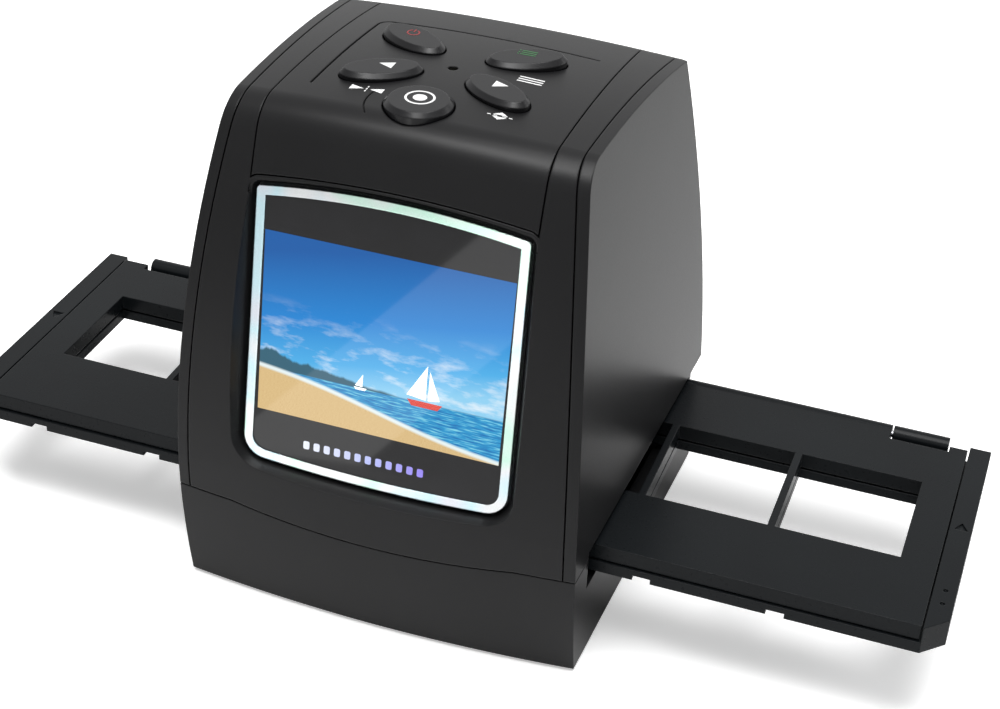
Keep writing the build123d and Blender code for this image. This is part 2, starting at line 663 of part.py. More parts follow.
# --------------------------------------------------------------------- buttons
def make_buttons():
    """Five sprung keys on one board, each over its own switch."""
    board_low = BUTTON_BOARD_Z - BOARD_T
    board = block(-COVER_POST_X - 3, COVER_POST_X + 3, COVER_POST_Y[0] - 3, COVER_POST_Y[1] + 3,
                  board_low, BUTTON_BOARD_Z)
    low, high = board_low - 1, BUTTON_BOARD_Z + 1
    board -= joined([post(x, y, low, high, SCREW_R + 0.15) for x, y in cover_post_sites()])
    PARTS["button_board"] = board
    head_z = board_low - SCREW_HEAD_T
    length = SCREW_HEAD_T + BOARD_T + POST_HOLE - 1.0
    screws = [upright_screw(x, y, head_z, length) for x, y in cover_post_sites()]
    PARTS["button_board_screws"] = joined(screws)
    room = Pos(0, 0.35, -0.35) * envelope(WALL, SIDE_T)
    switch_top = BUTTON_BOARD_Z + SWITCH_H
    plunger_top = switch_top + PLUNGER_OUT
    switches = []
    for name, (x, y, shape) in button_sites().items():
        key = prism_at(shape(0), x, y, FLANGE_TOP - FLANGE_T, top_height(x, y) + BUTTON_PROUD)
        crest = key.edges().filter_by(Plane.XY).sort_by(Axis.Z)[-1]
        key = chamfer([crest], BUTTON_BEVEL)
        key += prism_at(shape(BUTTON_GAP + FLANGE_RIM), x, y, FLANGE_TOP - FLANGE_T, FLANGE_TOP) & room
        key += post(x, y, plunger_top, FLANGE_TOP - FLANGE_T / 2, STEM_R)
        PARTS[name + "_button"] = key
        PARTS[name + "_plunger"] = post(x, y, BUTTON_BOARD_Z + 1.2, plunger_top, PLUNGER_R)
        switch = box_at(x, y, BUTTON_BOARD_Z, SWITCH_SIZE, SWITCH_SIZE, SWITCH_H)
        switches.append(switch - post(x, y, BUTTON_BOARD_Z + 0.4, switch_top + 1, PLUNGER_R + PIN_CLEAR))
    PARTS["switches"] = joined(switches)
    lamp = box_at(0, PINHOLE_Y, BUTTON_BOARD_Z, 2.8, 2.0, 1.0)
    PARTS["status_lamp"] = lamp + post(0, PINHOLE_Y, BUTTON_BOARD_Z + 0.5, LAMP_TOP, PINHOLE_R - 0.15)


# ------------------------------------------------------------------- film tray
def hinge_spans():
    """X ranges of the tray's own hinge tabs and of the lid's barrels between them."""
    tabs = []
    for i in range(3):
        middle = LID_LEFT + 12.0 + i * (LID_RIGHT - LID_LEFT - 22.0) / 2
        tabs.append((middle - KNUCKLE_L / 2, middle + KNUCKLE_L / 2))
    barrels = [(tabs[i][1] + KNUCKLE_GAP, tabs[i + 1][0] - KNUCKLE_GAP) for i in range(2)]
    return tabs, barrels


def hinge_pin_span():
    """X range of the hinge pin, which ends inside the outer tabs."""
    tabs = hinge_spans()[0]
    return tabs[0][0] + 1.5, tabs[-1][1] - 1.5


def window_cuts(z0, z1):
    """All film windows as one cutting shape."""
    return joined([box_at(x, FILM_Y, z0, WINDOW_W, WINDOW_D, z1 - z0) for x in WINDOW_CENTRES])


def tray_base():
    """Lower half of the tray: plate, end flanges, front lip and hinge tabs."""
    plate = block(TRAY_LEFT, TRAY_RIGHT, TRAY_FRONT, TRAY_REAR, TRAY_Z, TRAY_BASE_TOP)
    for x0, x1 in ((TRAY_LEFT, LID_LEFT - LID_GAP), (LID_RIGHT + LID_GAP, TRAY_RIGHT)):
        plate += block(x0, x1, TRAY_FRONT, TRAY_REAR, TRAY_Z, TRAY_TOP)
    corners = plate.edges().filter_by(Axis.Z).group_by(Axis.Y)[0]
    outer = corners.sort_by(Axis.X)
    plate = chamfer([outer[0], outer[-1]], CORNER_CUT)
    plate -= window_cuts(TRAY_Z - 1, TRAY_TOP + 1)
    front, rear = FILM_Y - FILM_W / 2 - 0.2, FILM_Y + FILM_W / 2 + 0.2
    plate -= block(LID_LEFT, LID_RIGHT, front, rear, TRAY_BASE_TOP - CHANNEL_D, TRAY_BASE_TOP + 1)
    for x in WINDOW_CENTRES:
        middle = x + NOTCH_SHIFT
        plate -= block(middle - NOTCH_W / 2, middle + NOTCH_W / 2, TRAY_FRONT - 1, TRAY_FRONT + 2.2,
                       TRAY_Z - 1, TRAY_Z + NOTCH_H)
    tabs, barrels = hinge_spans()
    for x0, x1 in tabs:
        tab = block(x0, x1, TRAY_REAR - 3, HINGE_Y + KNUCKLE_R - 0.4, TRAY_Z, HINGE_Z)
        tab += rod_x(x0, x1, HINGE_Y, HINGE_Z, KNUCKLE_R)
        plate += tab
    for x0, x1 in barrels:
        plate -= block(x0 - KNUCKLE_GAP, x1 + KNUCKLE_GAP, HINGE_Y - KNUCKLE_R - 0.4, 60,
                       HINGE_Z - KNUCKLE_R - 0.35, 60)
    plate -= rod_x(*hinge_pin_span(), HINGE_Y, HINGE_Z, HINGE_PIN_R)
    return plate - end_marks()


def end_marks():
    """Pressed triangles on the end flanges that point to the slot."""
    right = (LID_RIGHT + LID_GAP + TRAY_RIGHT) / 2
    left = (TRAY_LEFT + LID_LEFT - LID_GAP) / 2
    marks = []
    for middle, turn in ((right, 90), (left, -90)):
        face = Pos(middle, FILM_Y + 0.7, TRAY_TOP - 0.4) * Rot(0, 0, turn) * RegularPolygon(1.6, 3)
        marks.append(extrude(face, amount=2))
    for y in (-21.8, -25.9):
        marks.append(post(right, y, TRAY_TOP - 0.4, TRAY_TOP + 1, 0.5))
    return joined(marks)


def tray_lid():
    """Upper half of the tray with its hinge barrels."""
    rear = HINGE_Y - KNUCKLE_R - 0.5
    plate = block(LID_LEFT, LID_RIGHT, TRAY_FRONT + 0.5, rear, LID_Z, TRAY_TOP)
    plate -= window_cuts(LID_Z - 1, TRAY_TOP + 1)
    tabs, barrels = hinge_spans()
    for x0, x1 in barrels:
        barrel = rod_x(x0, x1, HINGE_Y, HINGE_Z, KNUCKLE_R)
        barrel += block(x0, x1, rear - 0.5, HINGE_Y, HINGE_Z - 0.6, HINGE_Z + KNUCKLE_R - 0.2)
        plate += barrel - rod_x(x0 - 1, x1 + 1, HINGE_Y, HINGE_Z, HINGE_PIN_R + PIN_CLEAR)
    for x0, x1 in tabs:
        plate -= block(x0 - KNUCKLE_GAP, x1 + KNUCKLE_GAP, TRAY_REAR - 3 - KNUCKLE_GAP, 60, LID_Z - 1, 60)
    return plate


def make_tray():
    """Film tray, its lid and the hinge pin."""
    PARTS["tray_base"] = tray_base()
    PARTS["tray_lid"] = tray_lid()
    PARTS["hinge_pin"] = rod_x(*hinge_pin_span(), HINGE_Y, HINGE_Z, HINGE_PIN_R)


# ------------------------------------------------------- track, light and optics
def gate_opening():
    """Opening over and under the film, on the optical axis."""
    return box_at(0, FILM_Y, 0, 2 * GATE_HALF_W, 2 * GATE_HALF_D, 60)


def make_track():
    """Film track on the base, its detent spring and the plate over it."""
    front, rear = RAIL_FRONT - RAIL_T, RAIL_REAR + RAIL_T
    track = block(-TRACK_HALF_L, TRACK_HALF_L, front, rear, TRACK_LOW, TRACK_TOP)
    track += block(-TRACK_HALF_L, TRACK_HALF_L, front, RAIL_FRONT, TRACK_LOW, SLOT_HIGH)
    track += block(-TRACK_HALF_L, TRACK_HALF_L, RAIL_REAR, rear, TRACK_LOW, SLOT_HIGH)
    blind = block(TRACK_HALF_L - 4, TRACK_HALF_L, rear - 1, BLIND_REAR, TRACK_LOW, SLOT_HIGH)
    track += joined(both_sides(blind))
    spring_y = TRAY_FRONT + 1.6
    track -= gate_opening()
    track -= block(DETENT_X - 9, DETENT_X + 13, spring_y - 1.8, spring_y + 1.8, 0, TRACK_TOP + 1)
    screw_x = DETENT_X + 16
    track -= post(screw_x, spring_y, 0, TRACK_TOP + 1, SMALL_SCREW_R)
    clear = SMALL_SCREW_R + 0.1
    track -= joined([post(x, y, TRACK_LOW - 1, SLOT_HIGH + 1, clear) for x, y in gate_screw_sites()])
    PARTS["film_track"] = track
    leaf_low = TRACK_LOW - 0.4
    leaf = block(DETENT_X - 8, screw_x + 3, spring_y - 1.5, spring_y + 1.5, leaf_low, TRACK_LOW)
    bump_r = TRACK_TOP - TRACK_LOW + 0.45
    bump = rod_y(DETENT_X, spring_y - 1.5, spring_y + 1.5, TRACK_LOW - 0.2, bump_r)
    bump &= block(-FAR, FAR, -FAR, FAR, leaf_low, TRAY_Z)
    PARTS["detent_spring"] = leaf + bump - post(screw_x, spring_y, 0, 60, SMALL_SCREW_R)
    PARTS["detent_screw"] = small_screw(screw_x, spring_y, leaf_low, 1.9, 1)
    plate = block(-TRACK_HALF_L, TRACK_HALF_L, front, rear, SLOT_HIGH, GATE_TOP) - gate_opening()
    plate -= joined([post(x, y, SLOT_HIGH - 1, GATE_TOP + 1, clear) for x, y in gate_screw_sites()])
    for sites in (tower_screw_sites(), pillar_sites()):
        plate -= joined([post(x, y, SLOT_HIGH - 1, GATE_TOP + 1, SMALL_SCREW_R) for x, y in sites])
    PARTS["upper_gate"] = plate
    length = GATE_TOP - 11.0
    PARTS["gate_screws"] = joined([small_screw(x, y, GATE_TOP, length, -1) for x, y in gate_screw_sites()])


def tower_screw_sites():
    """Positions of the screws in the camera tower's foot."""
    reach = TOWER_FOOT / 2 - 2.0
    return four_sites(reach, FILM_Y - reach, FILM_Y + reach)


def pillar_sites():
    """Positions of the main board's pillars."""
    return [(-MAIN_SCREW_X, MAIN_SCREW_Y), (MAIN_SCREW_X, MAIN_SCREW_Y)]


def make_backlight():
    """Light source under the film."""
    led_low = FLOOR_TOP + 1.0
    led_top = led_low + BOARD_T
    box_top = TRACK_LOW - 1.6
    width, depth = 2 * LIGHT_HALF_W, 2 * LIGHT_HALF_D
    pads = box_at(0, FILM_Y, FLOOR_TOP, width, depth, 1.0) - box_at(0, FILM_Y, 0, width - 8, 60, 9)
    PARTS["backlight_board"] = pads + box_at(0, FILM_Y, led_low, width, depth, BOARD_T)
    spots = [(x, FILM_Y + y) for x in (-9.0, 0.0, 9.0) for y in (-9.0, 0.0, 9.0)]
    PARTS["backlight_leds"] = joined([box_at(x, y, led_top, 3.5, 2.8, 1.0) for x, y in spots])
    box = box_at(0, FILM_Y, led_top, width, depth, box_top - led_top)
    PARTS["light_box"] = box - box_at(0, FILM_Y, 0, width - 5, depth - 5, 60)
    PARTS["diffuser"] = box_at(0, FILM_Y, box_top, width, depth, TRACK_LOW - box_top)


def square_tube(z0, z1, size0, size1, wall):
    """Tapering square tube on the optical axis."""
    skins = []
    for extra in (0, 2 * wall):
        low = Pos(0, FILM_Y, z0) * Rectangle(size0 - extra, size0 - extra)
        high = Pos(0, FILM_Y, z1) * Rectangle(size1 - extra, size1 - extra)
        skins.append(loft([low, high]))
    return skins[0] - skins[1]


def make_camera():
    """Lens and sensor looking down at the film gate."""
    tower_top = GATE_TOP + TOWER_H
    foot_hole = TOWER_BASE - 2
    tower = square_tube(GATE_TOP, tower_top, TOWER_BASE, TOWER_TOP, TOWER_WALL)
    tower += box_at(0, FILM_Y, GATE_TOP, TOWER_FOOT, TOWER_FOOT, 1.6) - box_at(
        0, FILM_Y, 0, foot_hole, foot_hole, 60)
    cap = box_at(0, FILM_Y, tower_top, TOWER_TOP, TOWER_TOP, 2)
    cap += post(0, FILM_Y, tower_top, tower_top + 5, LENS_R + 1.8)
    tower += cap - post(0, FILM_Y, tower_top - 1, tower_top + 6, LENS_R + LENS_CLEAR)
    clear = SMALL_SCREW_R + 0.1
    tower -= joined([post(x, y, 20, GATE_TOP + 5, clear) for x, y in tower_screw_sites()])
    PARTS["camera_tower"] = tower
    foot_top = GATE_TOP + 1.6
    screws = [small_screw(x, y, foot_top, 1.6 + GATE_T, -1) for x, y in tower_screw_sites()]
    PARTS["tower_screws"] = joined(screws)
    lens_low, lens_high = tower_top - 4, tower_top + 7
    barrel = post(0, FILM_Y, lens_low, lens_high, LENS_R)
    barrel += post(0, FILM_Y, tower_top + 5, lens_high, LENS_R + 1.6)
    PARTS["lens_barrel"] = barrel - post(0, FILM_Y, lens_low - 1, lens_high + 1, LENS_R - 2)
    spans = ((lens_low + 1, lens_low + 4), (lens_high - 4, lens_high - 2))
    PARTS["lens_elements"] = joined([post(0, FILM_Y, z0, z1, LENS_R - 2) for z0, z1 in spans])
    make_sensor(tower_top + 2, lens_high)


def make_sensor(seat, lens_high):
    """Sensor board on its holder over the lens."""
    board_z = lens_high + 4
    inner = TOWER_TOP - 3.6
    ears = [(-TOWER_TOP / 2 - 1.2, FILM_Y), (TOWER_TOP / 2 + 1.2, FILM_Y)]
    holder = box_at(0, FILM_Y, seat, TOWER_TOP, TOWER_TOP, board_z - seat)
    holder += joined([post(x, y, seat, board_z, 1.9) for x, y in ears])
    holder -= box_at(0, FILM_Y, 0, inner, inner, 120)
    holder -= joined([post(x, y, board_z - 6, board_z + 1, SMALL_SCREW_R) for x, y in ears])
    PARTS["sensor_holder"] = holder
    PARTS["ir_filter"] = box_at(0, FILM_Y, lens_high + 0.8, inner, inner, 0.8)
    board = box_at(0, FILM_Y, board_z, SENSOR_BOARD, SENSOR_BOARD, 1.2)
    board -= joined([post(x, y, board_z - 1, board_z + 2, SMALL_SCREW_R + 0.1) for x, y in ears])
    PARTS["sensor_board"] = board
    PARTS["image_sensor"] = box_at(0, FILM_Y, board_z - 1.4, 12, 10, 1.4)
    board_top = board_z + 1.2
    PARTS["sensor_screws"] = joined([small_screw(x, y, board_top, 7.2, -1) for x, y in ears])
    make_ribbons(board_top)


def ribbon(points, x):
    """Flat cable in a plane across the casing: it bends at every point."""
    path = FilletPolyline(*points, radius=1.6)
    strip = Plane.YZ.offset(x - RIBBON_W / 2) * trace(path, line_width=RIBBON_T)
    return extrude(strip, amount=RIBBON_W, dir=(1, 0, 0))


def make_ribbons(sensor_top):
    """Flat cables from the sensor and button boards to the main board."""
    seat_y = FILM_Y + SENSOR_BOARD / 2 - 3
    socket_top = PORT_Z + 2.4
    sites = ((0, RIBBON_SEAT_Y, PORT_Z), (BUTTON_RIBBON_X, RIBBON_SEAT_Y, PORT_Z), (0, seat_y, sensor_top))
    PARTS["ribbon_sockets"] = joined([box_at(x, y, z, RIBBON_W + 3, 4, 2.4) for x, y, z in sites])
    rise = sensor_top + 1.2
    PARTS["sensor_ribbon"] = ribbon([
        (seat_y + 2, rise), (seat_y + 8, rise), (seat_y + 8, socket_top + 6),
        (RIBBON_SEAT_Y, socket_top + 6), (RIBBON_SEAT_Y, socket_top),
    ], 0)
    button_low = BUTTON_BOARD_Z - BOARD_T
    PARTS["button_ribbon"] = ribbon([
        (5.0, button_low), (5.0, button_low - 5), (RIBBON_SEAT_Y, button_low - 14), (RIBBON_SEAT_Y, socket_top),
    ], BUTTON_RIBBON_X)


def make_main_board():
    """Main board behind the camera, with the sockets on its rear edge."""
    low, top = MAIN_BOARD_Z, PORT_Z
    board = block(-MAIN_HALF_W, MAIN_HALF_W, MAIN_FRONT, MAIN_REAR, low, top)
    board -= joined([post(x, y, low - 1, top + 1, SMALL_SCREW_R + 0.1) for x, y in pillar_sites()])
    PARTS["main_board"] = board
    pillars = [post(x, y, GATE_TOP, low, 2.4) - post(x, y, GATE_TOP - 1, low + 1, SMALL_SCREW_R)
               for x, y in pillar_sites()]
    PARTS["board_pillars"] = joined(pillars)
    screws = [small_screw(x, y, top, top - SLOT_HIGH - 0.4, -1) for x, y in pillar_sites()]
    PARTS["main_board_screws"] = joined(screws)
    usb = block(USB_X - 3.9, USB_X + 3.9, SOCKET_MOUTH - 9.2, SOCKET_MOUTH, top, top + 3.9)
    usb -= block(USB_X - 3.4, USB_X + 3.4, SOCKET_MOUTH - 7, 50, top + 0.5, top + 3.4)
    PARTS["usb_socket"] = usb + block(USB_X - 2.4, USB_X + 2.4, SOCKET_MOUTH - 8, SOCKET_MOUTH - 1,
                                      top + 1.5, top + 2.3)
    jack = block(JACK_X - 3.2, JACK_X + 3.2, SOCKET_MOUTH - JACK_DEPTH - 1.5, SOCKET_MOUTH, top, top + 5.6)
    PARTS["tv_jack"] = jack - rod_y(JACK_X, SOCKET_MOUTH - JACK_DEPTH, 50, JACK_Z, JACK_R)
    card = block(CARD_X - CARD_W / 2, CARD_X + CARD_W / 2, 27.0, SOCKET_MOUTH - 0.5, top, top + 3.2)
    PARTS["card_socket"] = card - block(CARD_X - 12.2, CARD_X + 12.2, 28.5, 50, top + 0.4, top + 2.8)
    PARTS["processor"] = box_at(18.5, 23.0, top, 8, 6, 1.2)


def make_fasteners():
    """Casing screws from below and the four rubber feet."""
    low = SCREW_SEAT_Z - SCREW_HEAD_T
    PARTS["casing_screws"] = joined([upright_screw(x, y, low, 18.0) for x, y in boss_sites()])
    PARTS["feet"] = joined([post(x, y, 0, FOOT_H, FOOT_R) for x, y in four_sites(FOOT_X, -FOOT_Y, FOOT_Y)])


make_casing()
make_display()
make_buttons()
make_tray()
make_track()
make_backlight()
make_camera()
make_main_board()
make_fasteners()
os.makedirs("parts", exist_ok=True)
for name, shape in PARTS.items():
    export_step(shape, f"parts/{name}.step")
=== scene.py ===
"""Film negative scanner: finishes, printed signs, screen picture, floor, lights and camera.

Everything is in metres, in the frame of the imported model: +X to the right, +Y to the rear,
+Z up. The outlines of signs and the sizes of patterns are in millimetres.
"""
import json
import math

import bmesh
import bpy
from mathutils import Matrix, Vector
from mathutils.bvhtree import BVHTree

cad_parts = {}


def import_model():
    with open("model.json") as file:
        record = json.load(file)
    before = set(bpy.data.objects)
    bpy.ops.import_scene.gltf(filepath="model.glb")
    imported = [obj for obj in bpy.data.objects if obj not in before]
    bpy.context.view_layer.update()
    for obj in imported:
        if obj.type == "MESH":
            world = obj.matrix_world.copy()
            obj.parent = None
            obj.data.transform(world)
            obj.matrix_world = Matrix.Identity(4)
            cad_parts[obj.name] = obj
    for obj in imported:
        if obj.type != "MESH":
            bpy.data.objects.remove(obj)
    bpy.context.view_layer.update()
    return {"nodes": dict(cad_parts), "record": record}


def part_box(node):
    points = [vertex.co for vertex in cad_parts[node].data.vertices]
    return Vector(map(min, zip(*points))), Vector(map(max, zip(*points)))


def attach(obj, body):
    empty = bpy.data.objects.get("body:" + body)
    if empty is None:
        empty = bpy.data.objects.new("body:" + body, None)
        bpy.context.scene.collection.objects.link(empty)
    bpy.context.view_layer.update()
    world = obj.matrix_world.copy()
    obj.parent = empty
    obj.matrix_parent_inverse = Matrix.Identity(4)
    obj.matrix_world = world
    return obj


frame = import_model()
MM = 0.001
NODES = frame["nodes"]

# ------------------------------------------------------------------ named sizes
SCREEN_CENTRE = Vector((0.0, -0.042, 0.065))
SCREEN_TILT = math.radians(8.5)
SCREEN_UP = Vector((0, math.sin(SCREEN_TILT), math.cos(SCREEN_TILT)))
SCREEN_OUT = Vector((0, -math.cos(SCREEN_TILT), math.sin(SCREEN_TILT)))
PICTURE_W = 48.96            # mm, of a 2.4 inch panel
PICTURE_H = 36.72
PRINT_T = 0.03 * MM          # ink stands this far off what it is printed on

# Levels in the picture, in mm up from its middle
HORIZON = -9.3
FOAM_LEVEL = -13.1
SAND_LEVEL = -13.9
SHORE_SLOPE = 0.17           # the shore falls this much per mm to the right
SHORE_BEND = 0.7             # mm, height of its curve

# Row of marks on the lens under the picture, in mm
MARK_COUNT = 12
MARK_FIRST = -14.0
MARK_PITCH = 2.12
MARK_LEVEL = -23.9

FLOOR_FILL = 0.40            # how far the camera sees the floor's shadows filled with light
LENS_LEVEL = 0.25            # the lens has a coating that halves its reflections
AMBIENT = "9a9a9a"           # light of the room on the scanner

GLARE_X = 9.0 * MM           # middle of the streak on the display, from the picture's middle
GLARE_UP = 3.0 * MM
GLARE_SLOPE = 1.15           # rise of the streak per unit to the right
GLARE_AWAY = 0.13            # the card stands this far from the display
GLARE_SIZE = (0.11, 0.026)
GLARE_POWER = 0.017          # watts

# Name, place, point that it faces, width and height, watts
LAMPS = (
    # broad light over the scanner
    ("overhead", (0.13, -0.07, 0.9), (0, 0, 0.05), (0.75, 0.45), 8.2),
    # highlight along the rounding over the screen, stronger towards the right
    ("front_top", (-0.1, -0.17, 0.6), (0, 0, 0.08), (0.3, 0.12), 1.1),
    # sheen on the right side, stronger towards the rear
    ("right_rear", (0.75, 0.45, 0.35), (0.03, 0, 0.06), (0.6, 0.5), 1.9),
)

CAMERA_AT = Vector((0.11340, -0.32172, 0.25938))
CAMERA_AZ = 0.31314          # radians, from the front towards the right
CAMERA_EL = 0.57373
CAMERA_ROLL = 0.05020
CAMERA_LENS = 69.97          # mm on a sensor 36 mm wide


# ----------------------------------------------------------------- node helpers
def rgb(code):
    """Linear colour of an sRGB hex code."""
    parts = [int(code[i:i + 2], 16) / 255 for i in (0, 2, 4)]
    linear = [c / 12.92 if c <= 0.04045 else ((c + 0.055) / 1.055) ** 2.4 for c in parts]
    return (*linear, 1.0)


def wire(tree, node, inputs):
    """Links sockets to a node's inputs and sets plain values on them."""
    for name, value in inputs.items():
        if isinstance(value, bpy.types.NodeSocket):
            tree.links.new(value, node.inputs[name])
        else:
            node.inputs[name].default_value = value


def add(tree, kind, inputs=None, **settings):
    """New node: settings are its properties, inputs are values or sockets to link."""
    node = tree.nodes.new(kind)
    for name, value in settings.items():
        setattr(node, name, value)
    wire(tree, node, inputs or {})
    return node


def calc(tree, operation, a, b, clamp=False):
    """Result of a Math node."""
    node = add(tree, "ShaderNodeMath", {0: a, 1: b}, operation=operation, use_clamp=clamp)
    return node.outputs[0]


def spread(tree, value, start, end, low=0.0, high=1.0):
    """Value from start to end, turned into low to high and held between them."""
    return add(tree, "ShaderNodeMapRange", {
        "Value": value, "From Min": start, "From Max": end, "To Min": low, "To Max": high,
    }).outputs[0]


def under(tree, value, edge, soft=0.25):
    """1 below the edge and 0 above it, with a soft step in millimetres."""
    return spread(tree, value, edge - soft, edge + soft, 1.0, 0.0)


def ramp(tree, factor, *stops):
    """Colour ramp with (position, hex) stops."""
    node = add(tree, "ShaderNodeValToRGB", {"Fac": factor})
    elements = node.color_ramp.elements
    while len(elements) < len(stops):
        elements.new(0.5)
    for element, (position, code) in zip(elements, stops):
        element.position = position
        element.color = rgb(code)
    return node.outputs["Color"]


def mix(tree, factor, a, b):
    """Colour between a and b."""
    return add(tree, "ShaderNodeMix", {0: factor, 6: a, 7: b}, data_type="RGBA").outputs[2]


def noise(tree, place, size, detail=2.0, roughness=0.5):
    """Noise between 0 and 1 whose features are about size millimetres wide."""
    return add(tree, "ShaderNodeTexNoise", {
        "Vector": place, "Scale": 1 / (size * MM), "Detail": detail, "Roughness": roughness,
    }).outputs["Fac"]


def new_material(name):
    """Material with only a Principled shader: material, tree, shader and position socket."""
    material = bpy.data.materials.new(name)
    material.use_nodes = True
    tree = material.node_tree
    tree.nodes.clear()
    shader = add(tree, "ShaderNodeBsdfPrincipled")
    add(tree, "ShaderNodeOutputMaterial", {"Surface": shader.outputs[0]})
    place = add(tree, "ShaderNodeTexCoord").outputs["Object"]
    return material, tree, shader, place


# ---------------------------------------------------------------- kinds of finish
# The texture of a mould is about 0.05 mm wide, which is too fine to show: each grain is drawn
# as coarse as it needs to show.
def moulded(name, dark, light, rough, grain, depth, edge=0.3, level=0.5):
    """Moulded plastic: a soft cloud of two shades, a fine texture and rounded edges.

    grain and depth are the texture's width and depth and edge is the edges' radius, in mm.
    """
    material, tree, shader, place = new_material(name)
    fine = noise(tree, place, grain, 2.0, 0.6)
    rounded = add(tree, "ShaderNodeBevel", {"Radius": edge * MM}, samples=6).outputs[0]
    bump = add(tree, "ShaderNodeBump", {
        "Height": fine, "Distance": depth * MM, "Strength": 0.6, "Normal": rounded,
    })
    wire(tree, shader, {
        "Base Color": ramp(tree, noise(tree, place, 33.3, 3.0), (0.3, dark), (0.7, light)),
        "Roughness": spread(tree, fine, 0.0, 1.0, rough * 0.92, rough * 1.08),
        "Normal": bump.outputs[0],
        "Specular IOR Level": level,
    })
    return material


def metal(name, dark, light, rough, stretch=(1, 1, 1)):
    """Metal with grain in its gloss; an axis with a small stretch has lines along it."""
    material, tree, shader, place = new_material(name)
    drawn = add(tree, "ShaderNodeVectorMath", {0: place, 1: stretch}, operation="MULTIPLY")
    grain = noise(tree, drawn.outputs[0], 1.11, 4.0)
    bump = add(tree, "ShaderNodeBump", {"Height": grain, "Distance": 0.01 * MM, "Strength": 0.3})
    wire(tree, shader, {
        "Base Color": ramp(tree, grain, (0.3, dark), (0.7, light)),
        "Roughness": spread(tree, grain, 0.0, 1.0, rough * 0.8, rough * 1.2),
        "Normal": bump.outputs[0],
        "Metallic": 1.0,
    })
    return material


def glass(name, code):
    """Coated optical glass with a faint tint in its reflections and what shows through."""
    material, tree, shader, place = new_material(name)
    wire(tree, shader, {
        "Base Color": ramp(tree, noise(tree, place, 5.0), (0.3, code), (0.7, "ffffff")),
        "Transmission Weight": 0.9, "Roughness": 0.03, "IOR": 1.5,
    })
    return material


def circuit_board():
    """Solder mask over copper: glossy green, with lighter raised tracks 3.85 mm apart."""
    material, tree, shader, place = new_material("solder_mask")
    tracks = add(tree, "ShaderNodeTexBrick", {
        "Vector": place, "Scale": 1 / (3.85 * MM), "Mortar Size": 0.06,
        "Color1": rgb("0b4a2a"), "Color2": rgb("0d5530"), "Mortar": rgb("1c7a48"),
    }).outputs
    bump = add(tree, "ShaderNodeBump", {
        "Height": tracks["Fac"], "Distance": 0.03 * MM, "Strength": 0.5,
    })
    wire(tree, shader, {
        "Base Color": tracks["Color"], "Normal": bump.outputs[0], "Roughness": 0.25,
    })
    return material


def silver_plating():
    """Plated plastic of the trim: mirror-like, with pale green, cyan and rose along it."""
    material, tree, shader, place = new_material("silver_plating")
    tint = ramp(
        tree, noise(tree, place, 18.2, 1.0),
        (0.32, "cdd0d1"), (0.43, "b6dac9"), (0.51, "d2d3d5"), (0.59, "b6d3da"), (0.70, "cfc7cf"),
    )
    rounded = add(tree, "ShaderNodeBevel", {"Radius": 0.3 * MM}, samples=6).outputs[0]
    wire(tree, shader, {
        "Base Color": tint,
        "Roughness": spread(tree, noise(tree, place, 0.333), 0.0, 1.0, 0.16, 0.30),
        "Normal": rounded,
        "Metallic": 0.85,
    })
    return material


def black_acrylic():
    """Black-printed acrylic of the lens: polished, with a very faint haze of dust."""
    material, tree, shader, place = new_material("black_acrylic")
    haze = noise(tree, place, 7.14, 4.0)
    wire(tree, shader, {
        "Base Color": ramp(tree, haze, (0.3, "161617"), (0.75, "1a1a1c")),
        "Roughness": spread(tree, haze, 0.0, 1.0, 0.03, 0.07),
        "Specular IOR Level": LENS_LEVEL,
    })
    return material


def ink(name, code, glow=0.0):
    """Screen-printed ink: even and satin, with a slight grain."""
    material, tree, shader, place = new_material(name)
    darker = (*(c * 0.86 for c in rgb(code)[:3]), 1.0)
    colour = mix(tree, noise(tree, place, 0.25), darker, rgb(code))
    wire(tree, shader, {
        "Base Color": colour, "Emission Color": colour,
        "Roughness": 0.45, "Emission Strength": glow,
    })
    return material


# --------------------------------------------------------- materials of the slots
opal_acrylic = moulded("opal_acrylic", "e8e8e2", "f4f4f0", 0.35, 0.667, 0.005)
anodised = metal("anodised_black", "121214", "1d1d20", 0.35, (1, 1, 12))

